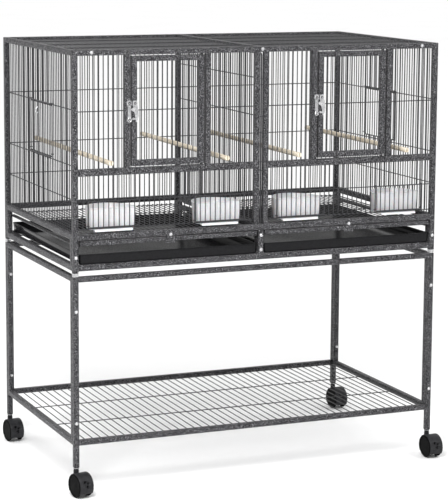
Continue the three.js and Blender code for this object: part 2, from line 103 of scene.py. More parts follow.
# Rails reach a corner's radius into the posts they are welded to.
X_RAIL = (-X_IN - CORNER, X_IN + CORNER)
Y_RAIL = (-Y_IN - CORNER, Y_IN + CORNER)

BASE_LOW = pair("base_rail_front", 2)[0]
BASE = (BASE_LOW, BASE_LOW + 15)
SILL = (605, 619)
MID_RAIL = (754, 770)
TOP_RAIL = (TOP - TUBE, TOP)
STAND_RAIL = (LEG[1] - TUBE, LEG[1])
SHELF_RAIL = (SHELF_LOW, SHELF_LOW + TUBE)
CROSS_WIRES = {"sill": 630, "feeder": 694, "door": 903}
SIDE_CROSS_WIRES = (697, 776, 906)
DIVIDER_CROSS_WIRES = (748, 877, 968)
TOP_CROSS_WIRES = (-131, 0, 131)
SHELF_CROSS_WIRES = (-88, 88)

# Each half of the cage is centred HALF_X from the middle. The divider slides in the slot between them.
HALF_X = 240
SLOT = 10
DIVIDER = {"rod": 2, "bend": 5}
DOOR_OPENING = 190
DOOR = {"width": 181, "low": 773, "high": 1029.5, "rail": 14, "wires": 11}
PIN = 2
FEEDER = {"offset": 134, "opening": 122, "wires": 9}
NEST = {"offset": 19, "width": 154, "low": 782, "high": 904, "wires": 12}
NEST_HOOK = {"across": 6, "drop": 23, "bend": 7, "stand_off": 1.4, "radius": 1.9}
LATTICE_COUNT = 35
LATTICE_START = SLOT / 2 + TUBE
LATTICE_PITCH = (X_IN - LATTICE_START) / LATTICE_COUNT
SIDE_PITCH = 12.8
SIDE_COUNT = 41
SHELF_PITCH = 20
GRATE_COUNT = 33
RUNNER = {"reach": 9, "thick": 4}
CUP = {"low": 625, "front": 4.5}
CUP_LIP = {"width": 94, "thick": 5, "middle": 625.2, "front": -272.4}
PERCH_SLOT = {"depth": 24, "half": 1.5}

SIDES = {"left": -1, "right": 1}
ENDS = {"front": -1, "back": 1}
FORWARD = (0, -1, 0)


# ---------- shapes ----------


def about(centre, width):
    return centre - width / 2, centre + width / 2


def circle(centre, u, v, radius, sides):
    """Points round a circle in the plane of u and v."""
    angles = [2 * math.pi * i / sides for i in range(sides)]
    return [centre + u * radius * math.cos(a) + v * radius * math.sin(a) for a in angles]


def arc(centre, radius, start, finish, steps):
    """Points on a flat arc, from one angle to another in degrees."""
    angles = [math.radians(start + (finish - start) * i / steps) for i in range(steps + 1)]
    return [(centre[0] + radius * math.cos(a), centre[1] + radius * math.sin(a)) for a in angles]


def rounded(width, height, corner, steps=3):
    """The outline of a rectangle with round corners, round the origin."""
    points = []
    for number, (sx, sy) in enumerate(((1, 1), (-1, 1), (-1, -1), (1, -1))):
        centre = sx * (width / 2 - corner), sy * (height / 2 - corner)
        points += arc(centre, corner, 90 * number, 90 * (number + 1), steps)
    return points


class Shape:
    """Closed shells, in millimetres, that become one mesh."""

    def __init__(self):
        self.points = []
        self.faces = []

    def add(self, points, faces):
        start = len(self.points)
        self.points += [Vector(p) for p in points]
        self.faces += [[start + i for i in face] for face in faces]

    def skin(self, rings):
        """Joins rings of equal count, and closes both ends."""
        count = len(rings[0])
        last = (len(rings) - 1) * count
        faces = [list(range(count))[::-1], [last + i for i in range(count)]]
        for start in range(0, last, count):
            for i in range(count):
                j = (i + 1) % count
                faces.append([start + i, start + j, start + count + j, start + count + i])
        self.add([p for ring in rings for p in ring], faces)

    def bar(self, x, y, z, corner=CORNER, end=0.0):
        """A bar with rounded long edges. Each range may be given either way round."""
        spans = [sorted(s) for s in (x, y, z)]
        sizes = [high - low for low, high in spans]
        middle = [(low + high) / 2 for low, high in spans]
        along = sizes.index(max(sizes))
        u, v = (along + 1) % 3, (along + 2) % 3
        section = rounded(sizes[u], sizes[v], corner)
        low, high = spans[along]
        stations = [(low, end), (low + end, 0), (high - end, 0), (high, end)]
        if not end:
            stations = stations[1:3]
        rings = []
        for place, inset in stations:
            ring = []
            for a, b in section:
                point = [0, 0, 0]
                point[along] = place
                point[u] = middle[u] + a * (1 - 2 * inset / sizes[u])
                point[v] = middle[v] + b * (1 - 2 * inset / sizes[v])
                ring.append(point)
            rings.append(ring)
        self.skin(rings)

    def wire(self, *path, radius=WIRE, sides=WIRE_SIDES, blunt=False):
        """A round wire along a path. A blunt one has eased ends."""
        path = [Vector(p) for p in path]
        last = len(path) - 1
        tangents = [(path[min(i + 1, last)] - path[max(i - 1, 0)]).normalized() for i in range(last + 1)]
        radii = [radius] * (last + 1)
        if blunt:
            ease = radius * 0.45
            first, final = tangents[0], tangents[last]
            path = [path[0], path[0] + first * ease, *path[1:last], path[last] - final * ease, path[last]]
            tangents = [first, *tangents, final]
            radii = [radius * 0.6, *radii, radius * 0.6]
        side = tangents[0].orthogonal().normalized()
        rings = []
        for point, tangent, size in zip(path, tangents, radii):
            side = (side - tangent * side.dot(tangent)).normalized()
            rings.append(circle(point, side, tangent.cross(side), size, sides))
        self.skin(rings)

    def turn(self, profile, origin, axis, sides=32):
        """Turns a profile of (radius, distance) points round an axis."""
        axis = Vector(axis).normalized()
        u = axis.orthogonal().normalized()
        v = axis.cross(u)
        self.skin([circle(Vector(origin) + axis * d, u, v, r, sides) for r, d in profile])

    def plate(self, outline, depth, place, soft=0.4):
        """A flat plate with softened edges. place turns an outline's (u, v) and a depth into a point."""
        block = Shape()
        block.skin([[place(u, v, w) for u, v in outline] for w in depth])
        work = block.to_bmesh()
        caps = [f for f in work.faces if len(f.verts) == len(outline)]
        edges = list({e for f in caps for e in f.edges})
        bevel = {"offset": soft, "segments": 2, "profile": 0.6, "affect": "EDGES", "clamp_overlap": True}
        bmesh.ops.bevel(work, geom=edges, **bevel)
        work.verts.index_update()
        self.add([v.co.copy() for v in work.verts], [[v.index for v in f.verts] for f in work.faces])
        work.free()

    def to_bmesh(self):
        work = bmesh.new()
        points = [work.verts.new(p) for p in self.points]
        for face in self.faces:
            work.faces.new([points[i] for i in face])
        bmesh.ops.recalc_face_normals(work, faces=work.faces)
        return work


def show(thing):
    bpy.context.scene.collection.objects.link(thing)


def make(name, shape, material, body, slot, *nodes, crease=38):
    """Turns a shape into a piece that rides on a body and stands for CAD nodes."""
    work = shape.to_bmesh()
    place = Matrix.Scale(0.001, 4) @ Matrix.Translation((0, CENTRE_Y, 0))
    bmesh.ops.transform(work, matrix=place, verts=work.verts)
    mesh = bpy.data.meshes.new(name)
    work.to_mesh(mesh)
    work.free()
    mesh.shade_smooth()
    mesh.set_sharp_from_angle(angle=math.radians(crease))
    mesh.materials.append(material)
    piece = bpy.data.objects.new(name, mesh)
    show(piece)
    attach(piece, body)
    if nodes:
        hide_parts(*nodes)
    return piece


# ---------- materials ----------


class Finish:
    """A Principled material, with a short way to add and link nodes. Socket values are constants."""

    def __init__(self, name, **sockets):
        self.material = bpy.data.materials.new(name)
        self.material.use_nodes = True
        self.tree = self.material.node_tree
        self.shader = self.tree.nodes["Principled BSDF"]
        for socket, value in sockets.items():
            self.shader.inputs[socket.replace("_", " ")].default_value = value

    def node(self, kind, inputs, output=0, **settings):
        """Adds a node and returns one of its outputs."""
        node = self.tree.nodes.new(kind)
        for key, value in settings.items():
            setattr(node, key, value)
        for socket, value in inputs.items():
            if isinstance(value, bpy.types.NodeSocket):
                self.tree.links.new(value, node.inputs[socket])
            else:
                node.inputs[socket].default_value = value
        return node.outputs[output]

    def coordinates(self, stretch=(1, 1, 1)):
        """Coordinates of the object's own mesh, in metres."""
        own = self.node("ShaderNodeTexCoord", {}, "Object")
        return self.node("ShaderNodeMapping", {"Vector": own, "Scale": stretch})

    def noise(self, vector, scale, detail=3.0, roughness=0.55):
        inputs = {"Vector": vector, "Scale": scale, "Detail": detail, "Roughness": roughness}
        return self.node("ShaderNodeTexNoise", inputs, "Fac")

    def cells(self, vector, scale, smoothness=0.6):
        inputs = {"Vector": vector, "Scale": scale, "Smoothness": smoothness}
        return self.node("ShaderNodeTexVoronoi", inputs, "Distance", feature="SMOOTH_F1")

    def remap(self, value, low, high, to_low, to_high):
        inputs = {"Value": value, "From Min": low, "From Max": high, "To Min": to_low, "To Max": to_high}
        return self.node("ShaderNodeMapRange", inputs)

    def math(self, operation, a, b):
        return self.node("ShaderNodeMath", {0: a, 1: b}, operation=operation)

    def ramp(self, value, *stops):
        """Maps a value to colours given as (position, (r, g, b))."""
        output = self.node("ShaderNodeValToRGB", {"Fac": value})
        elements = output.node.color_ramp.elements
        while len(elements) < len(stops):
            elements.new(0.5)
        for element, (position, colour) in zip(elements, stops):
            element.position = position
            element.color = (*colour, 1)
        return output

    def bump(self, height, strength, distance):
        inputs = {"Height": height, "Strength": strength, "Distance": distance}
        return self.node("ShaderNodeBump", inputs, "Normal")

    def link(self, **sockets):
        for socket, output in sockets.items():
            self.tree.links.new(output, self.shader.inputs[socket.replace("_", " ")])
        return self.material


def hammertone():
    """Charcoal paint that dries in small dimples, with bright flakes between them."""
    paint = Finish("hammertone_paint", Specular_IOR_Level=0.2)
    vector = paint.coordinates()
    dimples = paint.cells(vector, 680)
    flakes = paint.noise(vector, 1250, detail=2)
    drift = paint.noise(vector, 50, detail=2)
    mottle = paint.math("ADD", paint.math("MULTIPLY", dimples, 0.55), paint.math("MULTIPLY", flakes, 0.8))
    mottle = paint.math("ADD", mottle, paint.math("MULTIPLY", drift, 0.06))
    colour = paint.ramp(
        mottle,
        (0.6, (0.0015, 0.0015, 0.002)), (0.72, (0.008, 0.008, 0.0095)), (0.785, (0.062, 0.061, 0.067)),
        (0.89, (0.36, 0.357, 0.37)),
    )
    shine = paint.remap(mottle, 0.65, 0.9, 0, 0.4)
    rough = paint.remap(flakes, 0.3, 0.7, 0.34, 0.52)
    relief = paint.bump(mottle, 0.5, 0.0006)
    return paint.link(Base_Color=colour, Metallic=shine, Roughness=rough, Normal=relief)


def wire_paint(name, dark, light):
    """The same paint where it runs thin on wire: darker and glossier, with faint mottling."""
    paint = Finish(name, Specular_IOR_Level=0.35)
    vector = paint.coordinates()
    specks = paint.noise(vector, 700, detail=3)
    colour = paint.ramp(specks, (0.3, (dark, dark, dark * 1.1)), (0.7, (light, light, light * 1.1)))
    rough = paint.remap(specks, 0.3, 0.7, 0.26, 0.4)
    return paint.link(Base_Color=colour, Roughness=rough, Normal=paint.bump(specks, 0.3, 0.0003))


def zinc_plate():
    """Bright plated steel with fine scratches, its colour mottled darker and lighter as painted reflection
    of the dark cage and the bright room.
    """
    metal = Finish("zinc_plate", Metallic=0.95)
    vector = metal.coordinates()
    cloud = metal.noise(vector, 260, detail=4)
    scratch = metal.noise(metal.coordinates((1, 1, 9)), 900, detail=2)
    # The mottle from dark to light grey is painted reflection of the dark cage and the bright room.
    colour = metal.ramp(cloud, (0.3, (0.42, 0.42, 0.43)), (0.7, (0.74, 0.74, 0.75)))
    rough = metal.remap(scratch, 0.3, 0.7, 0.16, 0.38)
    return metal.link(Base_Color=colour, Roughness=rough, Normal=metal.bump(scratch, 0.2, 0.0002))


def tray_plastic():
    """Pressed black plastic: glossy walls, and a pebbled floor that hides scratches."""
    plastic = Finish("tray_plastic", Specular_IOR_Level=0.12)
    vector = plastic.coordinates()
    ripple = plastic.noise(vector, 22, detail=2)
    pebbles = plastic.cells(vector, 330)
    up = plastic.node("ShaderNodeNewGeometry", {}, "Normal")
    level = plastic.node("ShaderNodeSeparateXYZ", {"Vector": up}, "Z")
    flat = plastic.remap(level, 0.7, 0.9, 0, 1)
    colour = plastic.ramp(pebbles, (0.1, (0.003, 0.003, 0.0035)), (0.6, (0.008, 0.008, 0.009)))
    wall_rough = plastic.remap(ripple, 0.3, 0.7, 0.05, 0.12)
    rough = plastic.math("ADD", wall_rough, plastic.math("MULTIPLY", flat, 0.03))
    height = plastic.math("MULTIPLY", pebbles, plastic.remap(flat, 0, 1, 0.02, 1))
    return plastic.link(Base_Color=colour, Roughness=rough, Normal=plastic.bump(height, 0.25, 0.0005))


def caster_nylon(name, tone, low, high):
    """Moulded black nylon with a fine spark-eroded grain."""
    nylon = Finish(name, Specular_IOR_Level=0.1)
    vector = nylon.coordinates()
    grain = nylon.noise(vector, 1800, detail=3)
    wear = nylon.noise(vector, 90, detail=3)
    dark, light = (tone, tone, tone * 1.08), (tone * 1.7, tone * 1.7, tone * 1.85)
    colour = nylon.ramp(wear, (0.3, dark), (0.75, light))
    rough = nylon.remap(wear, 0.3, 0.7, low, high)
    return nylon.link(Base_Color=colour, Roughness=rough, Normal=nylon.bump(grain, 0.2, 0.0002))


def cup_plastic():
    """Milky white plastic, a little translucent, with a faint moulded skin."""
    plastic = Finish("cup_plastic", Subsurface_Weight=0.15, Subsurface_Scale=0.004, Specular_IOR_Level=0.5)
    vector = plastic.coordinates()
    cloud = plastic.noise(vector, 35, detail=3)
    skin = plastic.noise(vector, 1100, detail=2)
    colour = plastic.ramp(cloud, (0.3, (0.56, 0.565, 0.58)), (0.7, (0.66, 0.665, 0.68)))
    rough = plastic.remap(skin, 0.3, 0.7, 0.28, 0.4)
    return plastic.link(Base_Color=colour, Roughness=rough, Normal=plastic.bump(skin, 0.08, 0.0002))


def perch_wood():
    """Bare pale dowel: grain drawn out along Y, with short darker pores."""
    wood = Finish("perch_wood", Specular_IOR_Level=0.3)
    grain = wood.noise(wood.coordinates((1, 0.05, 1)), 420, detail=5, roughness=0.65)
    bands = wood.noise(wood.coordinates((1, 0.03, 1)), 120, detail=2)
    pores = wood.noise(wood.coordinates((1, 0.08, 1)), 1500, detail=2)
    mixed = wood.math("ADD", wood.math("MULTIPLY", grain, 0.6), wood.math("MULTIPLY", bands, 0.4))
    colour = wood.ramp(
        mixed, (0.33, (0.42, 0.35, 0.26)), (0.47, (0.60, 0.53, 0.42)), (0.65, (0.74, 0.68, 0.57))
    )
    rough = wood.remap(pores, 0.3, 0.7, 0.55, 0.75)
    return wood.link(Base_Color=colour, Roughness=rough, Normal=wood.bump(pores, 0.3, 0.0004))


def floor_paint():
    """A plain pale studio floor."""
    floor = Finish("studio_floor", Specular_IOR_Level=0.2)
    mist = floor.noise(floor.coordinates(), 1.5, detail=2)
    colour = floor.ramp(mist, (0.3, (0.94, 0.94, 0.94)), (0.7, (0.96, 0.96, 0.96)))
    return floor.link(Base_Color=colour, Roughness=floor.remap(mist, 0.3, 0.7, 0.7, 0.8))


PAINT = hammertone()
WIRES = wire_paint("wire_paint", 0.01, 0.045)
# The shelf's wires get a darker copy of the wire paint: painted shade under the cage.
SHADED_SHELF_WIRES = wire_paint("shelf_wire_shaded_paint", 0.003, 0.014)
ZINC = zinc_plate()
TRAY_BLACK = tray_plastic()
HOOD_NYLON = caster_nylon("hood_nylon", 0.016, 0.3, 0.42)
WHEEL_NYLON = caster_nylon("wheel_nylon", 0.001, 0.6, 0.75)
CUP_WHITE = cup_plastic()
WOOD = perch_wood()
CAGE = "cage_and_stand"


def painted(name, shape, body, *nodes):
    return make(name, shape, PAINT, body, "frame_paint", *nodes)


def wired(name, shape, body, *nodes, finish=WIRES):
    return make(name, shape, finish, body, "wire_paint", *nodes, crease=60)


def plated(name, shape, body, *nodes):
    return make(name, shape, ZINC, body, "zinc", *nodes)


# ---------- front and back panels ----------


def lattice_x(number):
    """Distance of a vertical wire from the cage's middle."""
    return LATTICE_START + LATTICE_PITCH * number


def over_feeder(x):
    return abs(abs(x - HALF_X) - FEEDER["offset"]) < FEEDER["opening"] / 2


def front_tubes():
    shape = Shape()
    y = (-Y_OUT, -Y_IN)
    shape.bar(X_RAIL, y, TOP_RAIL)
    shape.bar(X_RAIL, y, SILL)
    for side in SIDES.values():
        post = (side * SLOT / 2, side * LATTICE_START)
        shape.bar(post, y, (SILL[1] - CORNER, TOP_RAIL[0] + CORNER))
        shape.bar((side * (LATTICE_START - CORNER), side * X_RAIL[1]), y, MID_RAIL)
        for s in (-1, 1):
            inner = HALF_X + s * DOOR_OPENING / 2
            post = (side * inner, side * (inner + s * TUBE))
            shape.bar(post, y, (MID_RAIL[1] - CORNER, TOP_RAIL[0] + CORNER), CRISP)
    return shape


def front_wires():
    shape = Shape()
    behind = -Y_WIRE + CROSSING
    posts = DOOR_OPENING / 2 + TUBE
    bays = ((LATTICE_START, HALF_X - posts), (HALF_X + posts, X_IN))
    for side in SIDES.values():
        for number in range(1, LATTICE_COUNT):
            x = lattice_x(number)
            if abs(x - HALF_X) > posts + WIRE:
                shape.wire((side * x, -Y_WIRE, MID_RAIL[1] - BITE), (side * x, -Y_WIRE, TOP_RAIL[0] + BITE))
            foot = CROSS_WIRES["feeder"] if over_feeder(x) else CROSS_WIRES["sill"] - WIRE
            shape.wire((side * x, -Y_WIRE, foot), (side * x, -Y_WIRE, MID_RAIL[0] + BITE), blunt=True)
        for start, finish in bays:
            z = CROSS_WIRES["door"]
            shape.wire((side * (start - BITE), behind, z), (side * (finish + BITE), behind, z))
        for z in (CROSS_WIRES["sill"], CROSS_WIRES["feeder"]):
            shape.wire((side * (LATTICE_START - BITE), behind, z), (side * (X_IN + BITE), behind, z))
    return shape


def back_tubes():
    shape = Shape()
    y = (Y_IN, Y_OUT)
    shape.bar(X_RAIL, y, TOP_RAIL)
    shape.bar(X_RAIL, y, SILL)
    shape.bar(about(0, TUBE), y, (SILL[1] - CORNER, TOP_RAIL[0] + CORNER))
    return shape


def back_wires():
    shape = Shape()
    for side in SIDES.values():
        for number in range(LATTICE_COUNT):
            x = side * lattice_x(number)
            shape.wire((x, Y_WIRE, SILL[1] - BITE), (x, Y_WIRE, TOP_RAIL[0] + BITE))
        for z in SIDE_CROSS_WIRES:
            inside = Y_WIRE - CROSSING
            shape.wire((side * (TUBE / 2 - BITE), inside, z), (side * (X_IN + BITE), inside, z))
    return shape


def base_rail(end):
    shape = Shape()
    y = (end * Y_OUT, end * Y_IN)
    shape.bar(X_RAIL, y, BASE)
    shape.bar(about(0, TUBE), y, (BASE[1] - CORNER, SILL[0] + CORNER))
    return shape


def make_front_and_back():
    painted("front_panel_tubes", front_tubes(), CAGE, "front_panel")
    wired("front_panel_wires", front_wires(), CAGE, "front_panel")
    painted("back_panel_tubes", back_tubes(), CAGE, "back_panel")
    wired("back_panel_wires", back_wires(), CAGE, "back_panel")
    for end_name, end in ENDS.items():
        painted(f"base_rail_{end_name}_tube", base_rail(end), CAGE, f"base_rail_{end_name}")
        for side_name, side in SIDES.items():
            node = f"corner_post_{end_name}_{side_name}"
            post = Shape()
            post.bar((side * X_IN, side * X_OUT), (end * Y_OUT, end * Y_IN), (FOOT, TOP), end=0.8)
            painted(f"{node}_tube", post, CAGE, node)


# ---------- side panels, top and middle ----------


def side_y(number):
    return SIDE_PITCH * (number - (SIDE_COUNT - 1) / 2)


def lower_frame(shape, x):
    """The short uprights and rails that carry a tray and a grate, from front to back."""
    shape.bar(x, Y_RAIL, BASE)
    for end in ENDS.values():
        shape.bar(x, (end * Y_IN, end * (Y_IN - TUBE)), (BASE[1] - CORNER, SILL[0] + CORNER))


def runner(shape, x):
    """A ledge just under a grate, from front to back."""
    top = pair("grate_left", 2)[0] - GAP
    shape.bar(x, (-Y_IN + 1, Y_IN - 1), (top - RUNNER["thick"], top), CRISP)


def side_tubes(side):
    shape = Shape()
    x = (side * X_IN, side * X_OUT)
    shape.bar(x, Y_RAIL, TOP_RAIL)
    shape.bar(x, Y_RAIL, SILL)
    lower_frame(shape, x)
    runner(shape, (side * (X_IN - RUNNER["reach"]), side * (X_IN + 1)))
    return shape


def side_wires(side):
    shape = Shape()
    plane = side * X_WIRE
    inside = side * (X_WIRE - CROSSING)
    low, high = SILL[1] - BITE, TOP_RAIL[0] + BITE
    for number in range(SIDE_COUNT):
        y = side_y(number)
        if abs(y - side * NEST["offset"]) < NEST["width"] / 2:
            shape.wire((plane, y, low), (plane, y, NEST["low"]))
            shape.wire((plane, y, NEST["high"]), (plane, y, high))
        else:
            shape.wire((plane, y, low), (plane, y, high))
    for z in (NEST["low"], NEST["high"]):
        y0, y1 = about(side * NEST["offset"], NEST["width"] + SIDE_PITCH)
        shape.wire((plane, y0, z), (plane, y1, z), radius=BORDER, blunt=True)
    ends = (-Y_IN - BITE, Y_IN + BITE)
    for z in SIDE_CROSS_WIRES:
        if not NEST["low"] < z < NEST["high"]:
            shape.wire((inside, ends[0], z), (inside, ends[1], z))
    return shape


def top_wires():
    shape = Shape()
    z = (TOP_RAIL[0] + TOP_RAIL[1]) / 2
    for side in SIDES.values():
        for number in range(LATTICE_COUNT):
            x = side * lattice_x(number)
            shape.wire((x, -Y_IN - BITE, z), (x, Y_IN + BITE, z))
        for y in TOP_CROSS_WIRES:
            shape.wire((0, y, z + CROSSING), (side * (X_IN + BITE), y, z + CROSSING))
    return shape


def middle_tubes():
    shape = Shape()
    lower_frame(shape, about(0, TUBE))
    shape.bar(about(0, TUBE), Y_RAIL, (SILL[0], SILL[1] - GAP))
    reach = TUBE / 2 + RUNNER["reach"]
    runner(shape, (-reach, reach))
    return shape


def divider_wires():
    """A thick wire all round, bent at its corners, with uprights halfway between the sides' own."""
    shape = Shape()
    rod, bend = DIVIDER["rod"], DIVIDER["bend"]
    _, (y0, y1), (z0, z1) = ranges("divider")
    path = [(y1 - rod, z0 + rod), (y0 + rod, z0 + rod), (y0 + rod, z1 - rod), (y1 - rod, z1 - rod)]
    loop = []
    for i, corner in enumerate(path):
        before, here, after = Vector(path[i - 1]), Vector(corner), Vector(path[(i + 1) % 4])
        into = here + (before - here).normalized() * bend
        out = here + (after - here).normalized() * bend
        middle = into.lerp(here, 0.5).lerp(here.lerp(out, 0.5), 0.5)
        loop += [into, middle, out]
    loop.append(loop[0])
    shape.wire(*[(0, y, z) for y, z in loop], radius=rod)
    for number in range(SIDE_COUNT - 2):
        y = side_y(number + 1) - SIDE_PITCH / 2
        shape.wire((0, y, z0 + rod), (0, y, z1 - rod))
    for z in DIVIDER_CROSS_WIRES:
        shape.wire((CROSSING, y0 + 1, z), (CROSSING, y1 - 1, z), blunt=True)
    return shape


def make_sides_and_top():
    for name, side in SIDES.items():
        panel = f"side_panel_{name}"
        painted(f"{panel}_tubes", side_tubes(side), CAGE, panel)
        wired(f"{panel}_wires", side_wires(side), CAGE, panel)
    ridge = Shape()
    ridge.bar(about(0, TUBE), Y_RAIL, TOP_RAIL)
    painted("top_panel_tube", ridge, CAGE, "top_panel")
    wired("top_panel_wires", top_wires(), CAGE, "top_panel")
    painted("centre_frame_tubes", middle_tubes(), CAGE, "centre_frame")
    wired("divider_wires", divider_wires(), "divider", "divider")


# ---------- doors, latches and flaps ----------


def door_tubes(half):
    shape = Shape()
    x0, x1 = about(half * HALF_X, DOOR["width"])
    y = (-Y_OUT, -Y_IN)
    low, high = DOOR["low"], DOOR["high"]
    for stile in ((x0, x0 + TUBE), (x1 - TUBE, x1)):
        shape.bar(stile, y, (low, high), CRISP, end=0.6)
    inner = (x0 + TUBE - CORNER, x1 - TUBE + CORNER)
    shape.bar(inner, y, (low, low + DOOR["rail"]))
    shape.bar(inner, y, (high - TUBE, high))
    pin = x1 - TUBE / 2
    for z0, z1 in ((MID_RAIL[1] - 4, low + 2), (high - 2, TOP_RAIL[0] + 4)):
        shape.wire((pin, -Y_WIRE, z0), (pin, -Y_WIRE, z1), radius=PIN, sides=16, blunt=True)
    return shape


def door_wires(half):
    shape = Shape()
    x0, x1 = about(half * HALF_X, DOOR["width"])
    low, high = DOOR["low"], DOOR["high"]
    inner = DOOR["width"] - 2 * TUBE
    for number in range(1, DOOR["wires"] + 1):
        x = x0 + TUBE + inner * number / (DOOR["wires"] + 1)
        shape.wire((x, -Y_WIRE, low + DOOR["rail"] - BITE), (x, -Y_WIRE, high - TUBE + BITE))
    y = -Y_WIRE + CROSSING
    z = CROSS_WIRES["door"]
    shape.wire((x0 + TUBE - BITE, y, z), (x1 - TUBE + BITE, y, z))
    return shape


# The plane that flat parts on the front's tubes lie in.
FACE = -Y_OUT - GAP
LATCH = {"low": 876, "pivot": 920.5, "thick": 1.6}
# Turned heads, as (radius, height) from the plate outwards.
RIVET = (
    (4.4, 0), (4.4, 0.9), (4.0, 1.3), (3.5, 1.3), (3.1, 0.9), (3.1, 0.4), (1.5, 0.4), (1.4, 1.3), (0.3, 1.6),
)
KNOB = (
    (3.0, 0), (4.7, 1.0), (5.5, 2.4), (5.2, 3.8), (4.4, 4.4), (3.7, 4.0), (3.5, 3.2), (2.2, 3.2), (2.0, 4.4),
    (0.3, 4.8),
)
STUD = ((2.6, 0), (2.7, 0.8), (2.3, 1.3), (1.9, 1.3), (1.7, 0.5), (0.9, 0.5), (0.7, 1.3), (0.3, 1.4))


def front_plate(shape, outline, y0, y1, soft=0.4):
    """A plate in an X-Z outline between two depths."""
    shape.plate(outline, (y0, y1), lambda u, v, w: (u, w, v), soft)


def painted_shade_ring(shape, origin, outer, inner, rise):
    """A black ring of painted shade in the hollow between a rivet's rim and its middle."""
    shape.turn(((outer, 0), (outer, rise), (inner, rise)), origin, FORWARD, 24)


def shifted(outline, x, z):
    return [(u + x, v + z) for u, v in outline]


def latch_keeper(half):
    """On the door post: a riveted plate, a ribbed strap and a round knob at its foot."""
    shape = Shape()
    x = half * HALF_X - DOOR_OPENING / 2 - TUBE / 2 + 4.2
    plate = LATCH["thick"]
    pivot = LATCH["pivot"]
    front_plate(shape, shifted(rounded(12, 12.5, 3), x, pivot), FACE, FACE - plate)
    shape.turn(RIVET, (x, FACE - plate, pivot), FORWARD, 20)
    front_plate(shape, shifted(rounded(8.6, 34, 1.5), x, pivot - 19), FACE, FACE - plate)
    y = FACE - plate - 0.3
    for rib in (-3, 0, 3):
        shape.wire((x + rib, y, pivot - 32), (x + rib, y, pivot - 7), radius=1.0, blunt=True)
    foot = (x - 0.8, FACE - plate, LATCH["low"] + 5.5)
    shape.turn(KNOB, foot, FORWARD, 28)
    # Black rings of painted shade in the hollows of the rivet and the knob.
    painted_shade_rings = Shape()
    painted_shade_ring(painted_shade_rings, (x, FACE - plate, pivot), 3.3, 1.3, 0.6)
    painted_shade_ring(painted_shade_rings, foot, 3.8, 2.0, 3.4)
    return shape, painted_shade_rings


# Outlines around the pivot, in X and Z.
LEVER = (
    (-5.6, 4.4), (-4.0, 6.2), (4.4, 6.2), (5.8, 4.4), (6.4, -6), (8.6, -14), (9.4, -24), (9.0, -32),
    (7.6, -38), (5.8, -40.4), (4.8, -44), (2.6, -44), (1.8, -38), (0.6, -30), (-1.6, -21), (-8.4, -16.4),
    (-9.2, -14.4), (-8.0, -12.4), (-3.8, -9.6), (-5.6, -5),
)
LEVER_RIDGE = ((2.2, -8), (4.6, -9), (6.6, -16), (7.2, -25), (6.6, -34), (5.0, -37), (3.4, -30), (1.2, -18))


def latch_lever(half):
    """On the door: it hangs from a rivet, flares towards its foot, and its nose reaches for the strap."""
    shape = Shape()
    x = half * HALF_X - DOOR["width"] / 2 + TUBE / 2 - 1
    pivot = LATCH["pivot"]
    back = FACE - 3.4
    front = back - LATCH["thick"]
    front_plate(shape, shifted(LEVER, x, pivot), back, front, 0.35)
    front_plate(shape, shifted(LEVER_RIDGE, x, pivot), front + 0.2, front - 1.1, 0.45)
    shape.wire((x, FACE + 0.2, pivot), (x, front + 0.2, pivot), radius=3.6, sides=20)
    shape.turn(RIVET, (x, front, pivot), FORWARD, 20)
    stud = (x - 3.4, back + 0.4, pivot - 36)
    shape.turn(STUD, stud, FORWARD, 16)
    front_plate(shape, shifted(rounded(9, 4, 1.5), x - 0.2, pivot - 36), back, back - 1.2, 0.3)
    # Black rings of painted shade in the hollows of the rivet and the stud.
    painted_shade_rings = Shape()
    painted_shade_ring(painted_shade_rings, (x, front, pivot), 3.3, 1.3, 0.6)
    painted_shade_ring(painted_shade_rings, stud, 1.8, 0.8, 0.7)
    return shape, painted_shade_rings


def flap_wires(width, height, uprights):
    """A wire flap, as points around the origin in X and Z."""
    shape = Shape()
    side = width / 2 - WIRE
    for z in (WIRE, height - WIRE):
        shape.wire((-side, 0, z), (side, 0, z), radius=BORDER - 0.1)
    for s in (-1, 1):
        shape.wire((s * side, 0, 0.2), (s * side, 0, height - 0.2), blunt=True)
    for number in range(1, uprights + 1):
        x = -width / 2 + width * number / (uprights + 1)
        shape.wire((x, 0, WIRE), (x, 0, height - WIRE))
    return shape


def loop_round(shape, x, y, z, facing):
    """A wire loop round an upright at (x, y). facing points from the upright to the flap."""
    start = math.degrees(math.atan2(facing[1], facing[0]))
    turns = arc((x, y), 3.3, start + 20, start + 330, 14)
    shape.wire(*[(u, v, z) for u, v in turns], radius=0.9, sides=8, blunt=True)


def placed(shape, matrix):
    shape.points = [matrix @ p for p in shape.points]
    return shape


def make_doors():
    for name, half in SIDES.items():
        door = f"door_{name}"
        painted(f"{door}_tubes", door_tubes(half), door, door)
        wired(f"{door}_wires", door_wires(half), door, door)
        make_latch(name, half)
        make_nest_door(name)
        for place in ("inner", "outer"):
            make_feeder_door(f"{name}_{place}")


def make_latch(name, half):
    lever = f"latch_lever_{name}"
    for label, body, node, (metal, painted_shade_rings) in (
        ("keeper", CAGE, f"latch_strike_{name}", latch_keeper(half)),
        ("arm", lever, lever, latch_lever(half)),
    ):
        plated(f"latch_{label}_{name}", metal, body, node)
        # The black rings of painted shade are made in the wheels' black nylon.
        make(f"latch_{label}_grooves_{name}", painted_shade_rings, WHEEL_NYLON, body, "zinc")


def make_feeder_door(label):
    """A flap with a loop near each corner, that slides on the uprights behind it."""
    node = f"feeder_door_{label}"
    (x0, x1), (y0, y1), (z0, z1) = ranges(node)
    middle = (x0 + x1) / 2
    centre = Matrix.Translation((middle, (y0 + y1) / 2, z0))
    flap = placed(flap_wires(x1 - x0, z1 - z0, FEEDER["wires"]), centre)
    for x in (x0 + WIRE, x1 - WIRE):
        for z in (z0 + 4.5, z1 + 0.5):
            loop_round(flap, nearest_upright(x), -Y_WIRE, z, (0, -1))
    wired(f"{node}_wires", flap, node, node)


def nearest_upright(x):
    number = round((abs(x) - LATTICE_START) / LATTICE_PITCH)
    return math.copysign(lattice_x(number), x)


